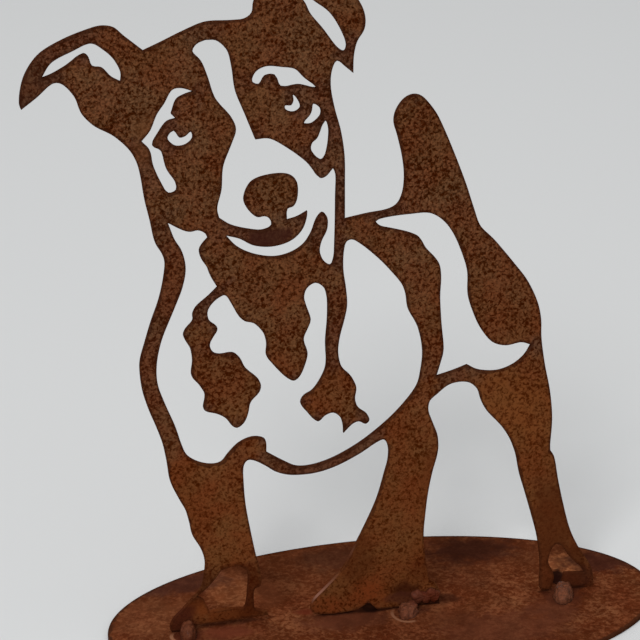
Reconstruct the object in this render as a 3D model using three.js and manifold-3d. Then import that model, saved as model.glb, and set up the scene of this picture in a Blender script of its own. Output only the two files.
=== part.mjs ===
// Garden statue of a small dog: a flat sheet-steel silhouette, cut through where the coat is white,
// standing on edge along the middle of an oval base plate and tack-welded to it at three paws.
// Units are millimetres. X runs along the base, Y through it (front is -Y), Z up.
// The origin is the middle of the base plate's underside.

import * as THREE from "three";
import Module from "manifold-3d";

const wasm = await Module();
wasm.setup();
const { Manifold } = wasm;

const baseLength = 250;
const baseWidth = 130;
const baseThickness = 2;
const baseSides = 128; // straight sides that stand for the oval's curve

const plateThickness = 2;
const patternScale = 1; // size of the cut pattern; 1 gives a dog 298 mm tall
const stepsPerKnot = 3; // straight pieces between two knots of a contour

const beadSides = 28; // straight sides round a weld bead

// The contours were read off the statue from one point: x, height above the base, and distance in
// front of the sheet.
const eye = { x: -227, height: 543, distance: 913 };
const facingBlend = 0.25; // how gradually an edge turns from hiding its cut face to showing it

// Each contour is a list of stretches. A stretch is a smooth curve through its knots, and runs from
// corner to corner: it ends where the next one starts. A knot is [x, height above the base].

const leftEarTip = [-151.4, 245.5];
const headNotch = [-102.2, 267.3];
const rightEarTip = [-16.1, 251.9];
const withers = [-19.7, 189.3];
const hock = [74.6, 71.7];
const toeNotch = [-8, 5];

const silhouette = [
  // top of the left ear
  [leftEarTip, [-152.2, 248], [-151.4, 255], [-149, 261.5], [-143.7, 268.3], [-135, 273.3],
    [-125.2, 276.9], [-118.5, 278.4], [-113.6, 277.4], [-109.8, 273.9]],
  // crown of the head and the right ear
  [headNotch, [-95.3, 270.2], [-85.1, 274.7], [-77, 277.5], [-66.7, 277.5], [-61, 277.9],
    [-58.2, 280], [-57.3, 284.9], [-52.3, 292.3], [-42.5, 297.6], [-31, 296.2], [-20.5, 290],
    [-13.6, 281.6], [-11.3, 275.5], [-11.6, 270.2], [-14.6, 265.1], [-15.9, 259.2]],
  // right cheek and neck
  [rightEarTip, [-19.4, 254.8], [-23, 257.6], [-24.9, 254.1], [-25.5, 247.5], [-23.9, 237.9],
    [-21.2, 227.7], [-19.6, 216.7], [-19.4, 204]],
  // back, tail and rump
  [withers, [-10, 191.1], [-1, 192.3], [2.6, 194.3], [4.7, 198.6], [5.5, 206], [4.6, 214.7],
    [2.4, 224.2], [0.7, 230.7], [1.7, 235.5], [5.2, 240.2], [9.1, 241.7], [12.6, 240.6],
    [18.6, 233.5], [22.5, 225.9], [28.1, 212.5], [32.9, 199.9], [36.5, 189], [39.4, 181.2],
    [45.5, 174.6], [55.3, 162.3], [60.9, 154.6], [66, 143.9], [67.9, 135.9], [68.4, 127],
    [70.4, 114.2], [73.3, 100.8], [74.8, 87.5], [74.4, 74.2]],
  // back of the hind leg
  [hock, [76.3, 68.8], [78.8, 56.7], [81.7, 44.2], [85.5, 30.7], [89.6, 21.8], [93.2, 16],
    [96.2, 10.5], [97.5, 5]],
  // sole and cleft of the hind paw, which stays clear of the base
  [[97.3, 1.3]],
  [[81.8, 1.3], [81.9, 5]],
  [[82.8, 9.9], [87.5, 9.5]],
  [[92.6, 9], [90.6, 11.8], [87.5, 14.9], [84.6, 18.6], [82.2, 22.6], [80, 24.2], [77.7, 22.8],
    [76.2, 19], [75.9, 14.6], [77.6, 11.2], [78.8, 7.4], [78.3, 4.2]],
  [[77.4, 1.2]],
  // front of the hind leg, the arch behind the middle leg, back of the middle leg
  [[73.6, 1.2], [71.9, 2.8], [71.4, 6.6], [71.5, 13], [70.9, 20.5], [69.3, 30.5], [66.5, 41],
    [62.9, 53.3], [60, 63], [58, 72.5], [55.2, 80], [51.3, 86.3], [44.2, 94.8], [41.4, 100.4],
    [40, 105], [36.6, 108.3], [32, 109.2], [27, 108.2], [22.3, 104.6], [18.9, 101.4],
    [18.3, 97], [20, 91.7], [22.5, 84.8], [23.1, 79], [22.6, 74.6], [20.8, 67.5], [18.9, 57],
    [17.7, 45], [17.2, 36.7], [17.8, 27], [19, 19], [20.3, 13.8], [23.4, 10.4], [25, 6]],
  // sole of the middle paw
  [[25, 0]],
  [[-3.6, 0], [-5.4, 2.1]],
  // toes, front of the middle leg, belly and back of the left leg
  [toeNotch, [-10.6, 2.6], [-14.5, 1.2], [-22, 0.4], [-29, 0.9], [-33.2, 2.4], [-34.6, 5.2],
    [-33.8, 9], [-29.2, 14], [-25.9, 17.3], [-21, 22.8], [-17.6, 28.6], [-14, 36.2],
    [-10.4, 43.8], [-5, 56.6], [-1.5, 69.5], [0, 76], [-0.1, 82.2], [-1.5, 84.8], [-3.8, 84.3],
    [-12.5, 79], [-23, 74.1], [-31, 72], [-38, 71.6], [-44.5, 72.3], [-50, 74.5], [-54, 77.5],
    [-59, 80.6], [-61.8, 81.1], [-63.5, 79], [-63.7, 69], [-62.9, 58.6], [-60.8, 45.4],
    [-58.7, 34], [-57.2, 27.4], [-56.5, 21], [-57.2, 18.5], [-59.4, 17.6], [-60, 14.2]],
  // heel and sole of the left paw, of which only the toe comes down to the base
  [[-60, 8.2], [-57, 7.1], [-54.2, 5.8]],
  [[-53.6, 3.6]],
  [[-88.6, 2.4]],
  [[-91.2, 0]],
  // front of the left leg and chest, left cheek and underside of the left ear
  [[-96.8, 0], [-98, 3.4], [-96.2, 7.8], [-92.8, 11.4], [-88.2, 16.4], [-85.2, 19.4],
    [-83.1, 23.6], [-82, 30], [-81.8, 35], [-83.3, 40.6], [-86.9, 47.8], [-88, 53.5],
    [-89.7, 60.4], [-92, 65.2], [-95.9, 74.8], [-97.2, 84], [-98.6, 92.4], [-101, 100.4],
    [-104.4, 110], [-106.8, 119.2], [-107.7, 130], [-107.2, 134.2], [-105.5, 140], [-102.4, 150],
    [-98.8, 160], [-96.5, 170], [-95.9, 176.5], [-96.9, 180], [-99.5, 185], [-101.5, 195],
    [-103.4, 204.2], [-104.9, 215.2], [-106, 220], [-108.7, 225.4], [-115.2, 232.1],
    [-122.7, 236.8], [-127.6, 242.4], [-130.1, 249.4], [-135, 255.1], [-138.1, 255.6],
    [-145.1, 250.1]],
];

const chestPatches = [
  // jaw line and throat, down to the link of the left patch
  [[-93.8, 192.9], [-90.2, 190.6], [-86.8, 188.8], [-84.4, 188.3], [-81.5, 188.7], [-78.6, 187.2]],
  [[-77.8, 185.6], [-80, 183.2], [-81.4, 180.6], [-80.6, 176.6], [-78.2, 172.4], [-76.8, 168.4]],
  // left patch, all round
  [[-74.1, 163.4], [-77.6, 160], [-83.4, 155], [-84.8, 152], [-84.8, 149.3], [-88, 145.4],
    [-88.9, 143], [-88, 140.2], [-86, 136.4], [-85.3, 131], [-85.7, 123.8], [-82.4, 118.8],
    [-80.3, 114.6], [-81, 108.4], [-79.6, 106.1], [-74.8, 104.4], [-71.2, 102], [-68.2, 97.9],
    [-66.2, 97], [-63.2, 99.2], [-61.4, 103.4], [-60.2, 108.6], [-56.4, 113], [-55.7, 116],
    [-57.2, 119.8], [-62.6, 125.4], [-64.8, 130], [-67.8, 132.9], [-73.6, 132.8], [-76.2, 133.8],
    [-77.4, 136.8], [-75.8, 140.4], [-74.2, 143], [-74.5, 145.4], [-77.6, 148.4], [-78.1, 151.8],
    [-76.4, 155.2], [-72.8, 158.2], [-70.6, 158.8], [-68, 154.8], [-65, 149], [-62.4, 146.3],
    [-58.6, 145], [-54.6, 140.4], [-53.5, 136], [-53.6, 130.4], [-51, 126], [-44.4, 118.4],
    [-41.4, 116.8], [-39, 118.4], [-36.2, 124.8], [-35.4, 129.2], [-37, 136], [-35, 141.2],
    [-34, 144.4], [-36, 151.4], [-36.8, 155], [-35.6, 159], [-32, 161.1], [-28.6, 158.9],
    [-27.5, 155.6], [-27.2, 146], [-28, 134.5], [-28, 122.6], [-31.5, 115], [-34, 112],
    [-37.4, 110], [-38.9, 106.8], [-35.5, 101.2], [-32.7, 97.7], [-30.6, 96.5], [-27.6, 99.1],
    [-24.2, 100], [-21.2, 97.7], [-20.2, 94.2]],
  // claws of the right patch and its long neck
  [[-19.6, 89.8], [-15.5, 93.8], [-12.8, 94.7], [-9.8, 93.2], [-8.1, 94.8], [-9.6, 98.6],
    [-13.4, 102], [-14.5, 105.5], [-14, 111], [-16.5, 116.8], [-20.6, 121.6], [-22, 128],
    [-21.4, 135], [-19.2, 144], [-18.2, 150], [-18.8, 158], [-19.9, 166], [-19.7, 174.6],
    [-18.6, 178.6], [-16.4, 179.4], [-13, 177.4], [-4.9, 170], [0.1, 164.4], [5.4, 157.4],
    [6.8, 153.5], [8, 146.4], [12.4, 137.5], [14.7, 126], [14, 116.7], [12.4, 110],
    [4.8, 99.8], [-5, 90.8], [-15, 83.8], [-26, 78.5], [-35, 76.4], [-41, 76.8], [-46, 79.5]],
  // collar of the left leg
  [[-54, 84.9], [-53.9, 89.6], [-55.4, 91.8], [-60, 92.7], [-65.8, 90.6], [-70.6, 86],
    [-73.8, 82.2], [-77.4, 81.5], [-83.2, 83], [-88.4, 86.8], [-90.6, 92], [-93, 100.4],
    [-97.6, 112.8], [-100, 121], [-100.2, 129], [-98, 140], [-92, 154.8], [-88.4, 164],
    [-86.9, 172.4], [-88.4, 180.2], [-91.2, 185.4]],
];

const backPatch = [
  [[-6.2, 186.5], [-5, 187.4], [0, 188.3], [9, 188.8], [17, 188.6], [22.4, 185.4],
    [27.1, 179.4], [31.6, 169], [33.9, 161], [34.4, 150.3], [37.2, 141.3], [40.9, 133.5],
    [46.5, 126.6], [52.4, 124.6], [59.4, 125.4]],
  [[63.2, 124.7], [60.4, 119.9], [55.1, 115.7], [48.4, 113.7], [39.6, 114.9]],
  [[34.8, 117.7], [28.9, 115.7]],
  [[20.9, 113.6], [23.4, 119.6], [24.5, 125], [23.3, 138.1], [22.5, 150.3], [22.7, 160],
    [21.4, 166], [15.6, 173.3], [12.4, 178.6], [8.2, 181], [0.8, 183.4], [-4.6, 185.1]],
];

const blazeAndMuzzle = [
  // left side of the blaze and muzzle
  [[-77, 269.6], [-80.4, 268.2], [-82.1, 265.4], [-78.8, 261.2], [-76.3, 254.8], [-73.3, 245.3],
    [-66.7, 236.5], [-64.9, 231.3], [-66.7, 225.5], [-70.4, 215.9], [-71.3, 205.7],
    [-73.2, 197.6]],
  // upper lip, and the nose from its left side round to its right
  [[-72.7, 193.9], [-68, 190.6], [-60, 188], [-54.6, 187.3], [-50.9, 189], [-51.7, 191.8],
    [-53.6, 192.7], [-56.4, 192.5], [-60.2, 195.9], [-62.5, 201.4], [-59.4, 208.6],
    [-52.1, 211.2], [-43.6, 210.8], [-39.9, 207.1], [-39.6, 199.6], [-41.2, 196.2],
    [-43.7, 195.2]],
  [[-44.4, 190.9], [-40, 192]],
  // mouth's right corner and the lower lip
  [[-35.8, 194.2], [-35.6, 190.8], [-37.6, 185.4], [-42.4, 181], [-50.4, 179], [-58.4, 180.2],
    [-64.2, 183.6]],
  [[-69.8, 185.4], [-65.6, 180.9], [-58.8, 177], [-49.4, 175], [-42, 176.6], [-37.2, 179.8],
    [-34.2, 184.4], [-31.8, 190.6], [-29.4, 193.1], [-27, 190.4], [-26.9, 185], [-29.4, 179.4],
    [-30, 174.8], [-28.2, 170.7], [-25.8, 169.3], [-24.6, 172], [-24.1, 180], [-23.8, 200],
    [-23.8, 209.6]],
  // right cheek's lower edge and the right side of the blaze
  [[-24.5, 211.6], [-27.6, 208.2], [-30, 207.7], [-35.5, 214.8], [-44.3, 222.2], [-51.4, 226.4]],
  [[-57, 226.4], [-61.6, 238.3], [-65.3, 248.2], [-66.7, 258.5], [-68.3, 265], [-72.6, 269.2]],
];

const leftEarPatch = [
  [[-142.8, 258], [-139.4, 259.8], [-133.4, 262.9], [-126, 267.6], [-124.2, 266.4],
    [-122.6, 262.2], [-118.9, 261.3], [-115.2, 257.3]],
  [[-111.7, 255.2], [-111.4, 258.4], [-114, 264.1], [-118, 268.2], [-122.6, 271], [-130.1, 268.3],
    [-138.8, 263.9]],
];

const rightEarPatch = [
  [[-41.4, 289.6], [-40.6, 287.4], [-36.6, 283.4], [-34.1, 278.3], [-28.9, 271.7], [-22.6, 263.2],
    [-20.4, 262], [-19.5, 264.3], [-22.3, 272], [-26.7, 278.6], [-32.8, 283.4], [-38.6, 289]],
];

const leftBrow = [
  [[-82.3, 249], [-87.3, 250.3], [-90.6, 249.8], [-94, 244.4], [-97.2, 239.8], [-100.1, 233.2]],
  [[-103.8, 228.8], [-100.6, 225.2], [-99.4, 219], [-96.4, 211.2], [-93.4, 206.4], [-90.4, 207.4],
    [-90.6, 210.8], [-94, 216.6], [-96.2, 224.6], [-99.6, 227.4], [-97.2, 232.4],
    [-93.5, 237.1]],
  [[-89.8, 238.2]],
  [[-91.7, 240.3], [-89.4, 246.2], [-86.4, 247.9]],
];

const leftEye = [
  [[-93.1, 229.7], [-90.6, 232.5], [-88.2, 229.4], [-85.6, 230], [-83.6, 231.6], [-83.2, 229.4],
    [-86.2, 226.7], [-90.4, 226.6]],
];

const rightBrow = [
  [[-32, 247.3], [-37, 251.7], [-40.4, 255.2], [-45.8, 256.4], [-52.4, 257.1], [-56.6, 255],
    [-58, 251.1], [-55.6, 250.2], [-53.2, 253.6], [-48.9, 253.7], [-46.4, 248.8], [-39.2, 249.1]],
];

const rightEye = [
  [[-41.2, 244.4], [-39.4, 242.2], [-38.6, 239.4], [-41, 237.6], [-44.4, 238.6], [-44.6, 240],
    [-42, 240], [-41, 242]],
];

const rightEyeCorner = [
  [[-32.8, 240], [-30.2, 238.2], [-30.2, 235.6], [-34.1, 232.1], [-36.8, 231.9], [-34.1, 235.4],
    [-33.3, 237.4]],
];

const rightCheek = [
  [[-27.8, 232.4], [-26.8, 229.4], [-28.4, 217.6], [-30, 216.2], [-33.8, 220.6], [-33.2, 223.3],
    [-31.3, 225]],
];

const leftSock = [
  [[-74.4, 28.4], [-70.4, 29.5], [-66.4, 29.6], [-63.4, 27.6], [-62.8, 24.6], [-63.2, 18],
    [-64, 11.2]],
  [[-64.9, 9.6], [-72, 10]],
  [[-80.2, 9.4], [-81.6, 12.6], [-82.8, 15.8]],
  [[-85.6, 16.6], [-81.7, 19.6], [-77.4, 24.2]],
];

const cutOuts = [
  chestPatches, backPatch, blazeAndMuzzle, leftEarPatch, rightEarPatch, leftBrow, leftEye,
  rightBrow, rightEye, rightEyeCorner, rightCheek, leftSock,
];

// A bead is one or more lobes that run together. A lobe is [x, distance in front of the plate,
// height above the base], its half sizes along X, Y and Z, and the degrees its front end swings to the left.
const weldBeads = {
  weld_left_paw: [
    { centre: [-90.2, 3.6, 1.8], half: [3.4, 6.4, 4.6], swing: 9 },
  ],
  weld_middle_paw: [
    { centre: [9.6, 3.9, 0.5], half: [3.8, 7, 3.7], swing: 15 },
    { centre: [13.6, 0.4, 5.4], half: [3.2, 2.6, 3.4], swing: 0 },
    { centre: [19.2, 0, 4.2], half: [5.4, 1.8, 2.8], swing: 0 },
  ],
  weld_hind_paw: [
    { centre: [81.8, 5, 0.9], half: [4.3, 8.6, 4.6], swing: 19 },
  ],
};

function curvePoints(knots, closed) {
  if (knots.length === 2) {
    return knots;
  }
  const curve = new THREE.CatmullRomCurve3(
    knots.map(([x, z]) => new THREE.Vector3(x, 0, z)), closed, "centripetal");
  const intervals = closed ? knots.length : knots.length - 1;
  return curve.getPoints(intervals * stepsPerKnot).map((p) => [p.x, p.z]);
}

// An edge that faces the eye shows its cut face too, so its knots were read at the sheet's back edge.
// This brings them to the front edge: back by one thickness along the line of sight.
function frontEdge(stretches, isCutOut) {
  const knots = stretches.flat();
  const turn = knots.reduce((sum, [x, z], index) => {
    const [nextX, nextZ] = knots[(index + 1) % knots.length];
    return sum + x * nextZ - nextX * z;
  }, 0);
  const outward = Math.sign(turn) * (isCutOut ? -1 : 1);
  let index = 0;
  return stretches.map((stretch) => stretch.map(([x, z]) => {
    const [beforeX, beforeZ] = knots.at(index - 1);
    const [afterX, afterZ] = knots[(index + 1) % knots.length];
    index += 1;
    const normal = new THREE.Vector2(afterZ - beforeZ, beforeX - afterX).normalize();
    normal.multiplyScalar(outward);
    const shift = new THREE.Vector2(eye.x - x, eye.height - z);
    const facing = normal.dot(shift) / shift.length();
    const share = THREE.MathUtils.smoothstep(facing, -facingBlend, facingBlend);
    shift.multiplyScalar(share * plateThickness / eye.distance);
    return [x - shift.x, z - shift.y];
  }));
}

// Joins a contour's stretches, each drawn up to the first knot of the next.
function contourPoints(stretches) {
  const points = [];
  stretches.forEach((stretch, index) => {
    if (stretches.length === 1) {
      points.push(...curvePoints(stretch, true).slice(0, -1));
      return;
    }
    const next = stretches[(index + 1) % stretches.length];
    points.push(...curvePoints([...stretch, next[0]], false).slice(0, -1));
  });
  return points.map(([x, z]) => new THREE.Vector2(x * patternScale, z * patternScale));
}

function dogPlateGeometry() {
  // the silhouette is listed clockwise, and a shape runs the other way round its outside
  const shape = new THREE.Shape(contourPoints(frontEdge(silhouette, false)).reverse());
  shape.holes = cutOuts.map((contour) => new THREE.Path(contourPoints(frontEdge(contour, true))));
  const geometry = new THREE.ExtrudeGeometry(shape, { depth: plateThickness, bevelEnabled: false });
  // stands the pattern upright on the base, half its thickness either side of Y = 0
  const upright = new THREE.Matrix4().set(
    1, 0, 0, 0,
    0, 0, -1, plateThickness / 2,
    0, 1, 0, baseThickness,
    0, 0, 0, 1);
  return geometry.applyMatrix4(upright);
}

function basePlateGeometry() {
  const geometry = new THREE.CylinderGeometry(1, 1, baseThickness, baseSides);
  geometry.rotateX(Math.PI / 2);
  geometry.scale(baseLength / 2, baseWidth / 2, 1);
  return geometry.translate(0, 0, baseThickness / 2);
}

// A bead's lobes, joined, and cut off flat where they meet the plate's front and the base's top.
function weldGeometry(lobes) {
  const rounded = lobes.map(({ centre: [x, front, z], half, swing }) => Manifold.sphere(1, beadSides)
    .scale(half)
    .rotate([0, 0, -swing])
    .translate([x, -plateThickness / 2 - front, baseThickness + z]));
  const bead = Manifold.union(rounded)
    .trimByPlane([0, -1, 0], plateThickness / 2)
    .trimByPlane([0, 0, 1], baseThickness);
  const { vertProperties, triVerts, numProp } = bead.getMesh();
  const positions = [];
  for (let i = 0; i < vertProperties.length; i += numProp) {
    positions.push(vertProperties[i], vertProperties[i + 1], vertProperties[i + 2]);
  }
  const geometry = new THREE.BufferGeometry();
  geometry.setAttribute("position", new THREE.Float32BufferAttribute(positions, 3));
  geometry.setIndex(Array.from(triVerts));
  geometry.computeVertexNormals();
  return geometry;
}

const rustedPlate = new THREE.MeshStandardMaterial({ color: 0x4e2d1a, roughness: 0.85, metalness: 0.2 });
const rustedBase = new THREE.MeshStandardMaterial({ color: 0x663a27, roughness: 0.75, metalness: 0.2 });
const weldMetal = new THREE.MeshStandardMaterial({ color: 0x5c443c, roughness: 0.55, metalness: 0.4 });

const statue = new THREE.Group();
statue.name = "dog_garden_statue";

function addPiece(name, geometry, material) {
  const mesh = new THREE.Mesh(geometry, material);
  mesh.name = name;
  statue.add(mesh);
}

addPiece("base_plate", basePlateGeometry(), rustedBase);
addPiece("dog_plate", dogPlateGeometry(), rustedPlate);
for (const [name, lobes] of Object.entries(weldBeads)) {
  addPiece(name, weldGeometry(lobes), weldMetal);
}

export default statue;
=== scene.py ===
# Rusted garden statue of a small dog: a sheet-steel silhouette on an oval base plate, tack-welded at
# three paws.
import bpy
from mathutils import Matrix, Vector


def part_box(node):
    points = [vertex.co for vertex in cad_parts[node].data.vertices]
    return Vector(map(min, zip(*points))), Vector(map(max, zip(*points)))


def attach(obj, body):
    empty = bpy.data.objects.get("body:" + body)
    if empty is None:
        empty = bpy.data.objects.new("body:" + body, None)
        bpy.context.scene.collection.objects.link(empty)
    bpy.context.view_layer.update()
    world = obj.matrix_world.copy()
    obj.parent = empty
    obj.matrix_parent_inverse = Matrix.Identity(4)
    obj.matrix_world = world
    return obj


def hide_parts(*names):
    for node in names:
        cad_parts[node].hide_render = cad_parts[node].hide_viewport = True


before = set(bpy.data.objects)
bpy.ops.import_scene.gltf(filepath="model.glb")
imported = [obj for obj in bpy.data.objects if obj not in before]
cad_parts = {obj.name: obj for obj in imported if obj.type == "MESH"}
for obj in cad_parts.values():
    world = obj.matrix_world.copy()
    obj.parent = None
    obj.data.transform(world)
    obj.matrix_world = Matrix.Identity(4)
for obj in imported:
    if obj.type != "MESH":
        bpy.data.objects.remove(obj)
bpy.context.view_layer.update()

import math

import bpy
import numpy as np
from mathutils import Vector
from mathutils.geometry import delaunay_2d_cdt

mm = 0.001
tiny = 1e-6         # millimetres; nearer than this counts as the same place
noiseBlob = 0.5     # millimetres across a blob of noise at scale 1
noiseMean = 0.5

# levels in millimetres that the finishes and the welds start from, and the axis across each face
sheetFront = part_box("dog_plate")[0].y / mm
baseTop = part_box("base_plate")[1].z / mm
sheetFace = (1, sheetFront)
baseFace = (2, baseTop)


def srgb(red, green, blue):
    # screen colour 0..255 to the linear colour that a shader takes
    share = np.array([red, green, blue]) / 255
    linear = np.where(share <= 0.04045, share / 12.92, ((share + 0.055) / 1.055) ** 2.4)
    return (*linear.tolist(), 1.0)


def makePiece(name, points, faces, attributes=None):
    # points are millimetres, one row each; faces are lists of point numbers
    mesh = bpy.data.meshes.new(name)
    mesh.from_pydata((points * mm).tolist(), [], faces)
    mesh.polygons.foreach_set("use_smooth", np.ones(len(mesh.polygons), bool))
    for key, values in (attributes or {}).items():
        layer = mesh.attributes.new(key, "FLOAT", "POINT")
        layer.data.foreach_set("value", values.astype(np.float32))
    mesh.update()
    piece = bpy.data.objects.new(name, mesh)
    bpy.context.scene.collection.objects.link(piece)
    return piece


def fitPiece(piece, material, nodeName):
    # gives a piece its finish, hangs it on the root, and hides the node of the frame that it stands in for
    piece.data.materials.append(material)
    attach(piece, "root")
    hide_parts(nodeName)


def addNode(tree, kind, inputs=None, **settings):
    # a shader node with its settings; an input is a value, or another node's output to link
    node = tree.nodes.new(kind)
    for key, value in settings.items():
        setattr(node, key, value)
    for key, value in (inputs or {}).items():
        if isinstance(value, bpy.types.NodeSocket):
            tree.links.new(value, node.inputs[key])
        else:
            node.inputs[key].default_value = value
    return node


def addMath(tree, operation, first, second=0.0):
    # one step of arithmetic
    return addNode(tree, "ShaderNodeMath", {0: first, 1: second}, operation=operation).outputs[0]


def addScaled(tree, colour, share):
    # a colour times a share
    return addNode(tree, "ShaderNodeVectorMath", {0: colour, "Scale": share}, operation="SCALE").outputs[0]


def addAttribute(tree, name):
    # a value kept on the points of the mesh
    return addNode(tree, "ShaderNodeAttribute", attribute_name=name).outputs["Fac"]


def addRange(tree, value, low, high, start=0.0, end=1.0):
    # eased step: start below low, end above high
    node = addNode(tree, "ShaderNodeMapRange", {
        "Value": value, "From Min": low, "From Max": high, "To Min": start, "To Max": end},
        interpolation_type="SMOOTHSTEP")
    return node.outputs["Result"]


def addMix(tree, share, first, second, blend="MIX"):
    # the first colour at share 0, the second, or its blend with the first, at share 1
    node = addNode(tree, "ShaderNodeMix", {0: share, 6: first, 7: second}, data_type="RGBA",
                   blend_type=blend)
    return node.outputs[2]


def addNoise(tree, where, size, detail=2.0):
    # cloudy noise whose blobs are about size millimetres across
    inputs = {"Vector": where, "Scale": noiseBlob / size, "Detail": detail}
    return addNode(tree, "ShaderNodeTexNoise", inputs).outputs["Fac"]


def makeGroup(name, inputs, outputs):
    # a shader node group with named sockets; kinds are Float, Vector and Color
    tree = bpy.data.node_groups.new(name, "ShaderNodeTree")
    for direction, sockets in (("INPUT", inputs), ("OUTPUT", outputs)):
        for key, kind in sockets.items():
            tree.interface.new_socket(key, in_out=direction, socket_type="NodeSocket" + kind)
    return tree, tree.nodes.new("NodeGroupInput").outputs, tree.nodes.new("NodeGroupOutput")


def useGroup(tree, group, inputs):
    # places a group in a tree
    return addNode(tree, "ShaderNodeGroup", inputs, node_tree=group).outputs


# sizes of blobs in millimetres, and the values between which a noise is cut
mottleLook = {
    "patchSize": 9.0, "stainSize": 13.0, "stainRange": (0.42, 0.62),
    "grainSize": 0.45, "grainRange": (0.3, 0.7),
    "driftSize": 7.0, "driftRange": (0.36, 0.64),
    "redTint": (1.02, 0.92, 0.88, 1.0), "oliveTint": (0.98, 1.08, 1.08, 1.0),
    "bloomHeight": 0.6, "grainHeight": 0.5,     # what each adds to the height of the surface
}


def rustMottleGroup(look):
    # speckled rust: fine noise, raised or lowered by wide patches, is cut at a level into dark scale and
    # light bloom; a second, finer noise breaks both tones up, and a wide one drifts them from red to olive
    tree, given, result = makeGroup(
        "rustMottle",
        {"Where": "Vector", "Speck": "Float", "Level": "Float", "Softness": "Float", "Patchiness": "Float",
         "Grain": "Float", "Drift": "Float", "Dark": "Color", "Light": "Color", "Stain": "Color"},
        {"Color": "Color", "Bloom": "Float", "Height": "Float"})
    where = given["Where"]
    speckScale = addMath(tree, "DIVIDE", noiseBlob, given["Speck"])
    specks = addNode(tree, "ShaderNodeTexNoise", {
        "Vector": where, "Scale": speckScale, "Detail": 2.5, "Roughness": 0.6, "Distortion": 0.5})
    patches = addNoise(tree, where, look["patchSize"])
    stains = addNoise(tree, where, look["stainSize"], detail=2.5)
    grain = addNoise(tree, where, look["grainSize"], detail=1.0)
    drift = addNoise(tree, where, look["driftSize"], detail=3.0)
    lift = addMath(tree, "MULTIPLY", addMath(tree, "SUBTRACT", patches, noiseMean), given["Patchiness"])
    level = addMath(tree, "ADD", specks.outputs["Fac"], lift)
    low = addMath(tree, "SUBTRACT", given["Level"], given["Softness"])
    high = addMath(tree, "ADD", given["Level"], given["Softness"])
    bloom = addRange(tree, level, low, high)
    stained = addMix(tree, addRange(tree, stains, *look["stainRange"]), given["Light"], given["Stain"])
    tone = addMix(tree, bloom, given["Dark"], stained)
    shade = addRange(tree, grain, *look["grainRange"], -1.0, 1.0)
    shade = addMath(tree, "ADD", addMath(tree, "MULTIPLY", shade, given["Grain"]), 1.0)
    shaded = addScaled(tree, tone, shade)
    tint = addMix(tree, addRange(tree, drift, *look["driftRange"]), look["redTint"], look["oliveTint"])
    tinted = addMix(tree, given["Drift"], shaded, tint, "MULTIPLY")
    bloomHeight = addMath(tree, "MULTIPLY", bloom, look["bloomHeight"])
    grainHeight = addMath(tree, "MULTIPLY", grain, look["grainHeight"])
    height = addMath(tree, "ADD", bloomHeight, grainHeight)
    for key, value in (("Color", tinted), ("Bloom", bloom), ("Height", height)):
        tree.links.new(value, result.inputs[key])
    return tree


# the ragged edge in millimetres, and the share of the width up to which the band is full
cutRimLook = {"raggedSize": 1.6, "raggedReach": 3.0, "fullShare": 0.35}


def cutRimGroup(look):
    # darker band along a cut: full at the edge, gone at a width that noise makes ragged
    tree, given, result = makeGroup(
        "cutRim", {"Where": "Vector", "Distance": "Float", "Width": "Float"}, {"Rim": "Float"})
    noise = addNoise(tree, given["Where"], look["raggedSize"])
    ragged = addMath(tree, "MULTIPLY", addMath(tree, "SUBTRACT", noise, noiseMean), look["raggedReach"])
    distance = addMath(tree, "ADD", given["Distance"], ragged)
    full = addMath(tree, "MULTIPLY", given["Width"], look["fullShare"])
    tree.links.new(addRange(tree, distance, full, given["Width"], 1.0, 0.0), result.inputs["Rim"])
    return tree


# the ring is full within the first distance from the outer radius, and gone at the second
stainSpotLook = {"wanderSize": 2.6, "ringHalves": (0.3, 0.95)}


def stainSpotGroup(look):
    # a soft spot round a point: full within the inner radius, gone at the outer one; the distance is
    # squeezed along each axis, so that a spot can be longer than wide, and noise makes its edge wander;
    # the ring is a thin line that stays on the outer radius
    tree, given, result = makeGroup(
        "stainSpot",
        {"Where": "Vector", "Centre": "Vector", "Squeeze": "Vector", "Inner": "Float", "Outer": "Float"},
        {"Spot": "Float", "Ring": "Float"})
    offset = addNode(tree, "ShaderNodeVectorMath", {0: given["Where"], 1: given["Centre"]},
                     operation="SUBTRACT").outputs[0]
    squeezed = addNode(tree, "ShaderNodeVectorMath", {0: offset, 1: given["Squeeze"]},
                       operation="MULTIPLY").outputs[0]
    distance = addNode(tree, "ShaderNodeVectorMath", {0: squeezed}, operation="LENGTH").outputs["Value"]
    wander = addMath(tree, "SUBTRACT", addNoise(tree, given["Where"], look["wanderSize"]), noiseMean)
    wander = addMath(tree, "MULTIPLY", wander, given["Outer"])
    spot = addRange(tree, addMath(tree, "ADD", distance, wander), given["Inner"], given["Outer"], 1.0, 0.0)
    fromOuter = addMath(tree, "ABSOLUTE", addMath(tree, "SUBTRACT", distance, given["Outer"]))
    tree.links.new(spot, result.inputs["Spot"])
    tree.links.new(addRange(tree, fromOuter, *look["ringHalves"], 1.0, 0.0), result.inputs["Ring"])
    return tree


rustMottle = rustMottleGroup(mottleLook)
cutRim = cutRimGroup(cutRimLook)
stainSpot = stainSpotGroup(stainSpotLook)
print("node groups made")

roughHeights = (0.1, 1.0)       # heights of the rust between which its roughness climbs


def startMaterial(name):
    # an empty material, its Principled shader and the place on the piece in millimetres
    material = bpy.data.materials.new(name)
    material.use_nodes = True
    tree = material.node_tree
    shader = tree.nodes["Principled BSDF"]
    place = addNode(tree, "ShaderNodeTexCoord").outputs["Object"]
    where = addNode(tree, "ShaderNodeMapping", {"Vector": place, "Scale": (1 / mm,) * 3}).outputs[0]
    return material, tree, shader, where


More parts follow.
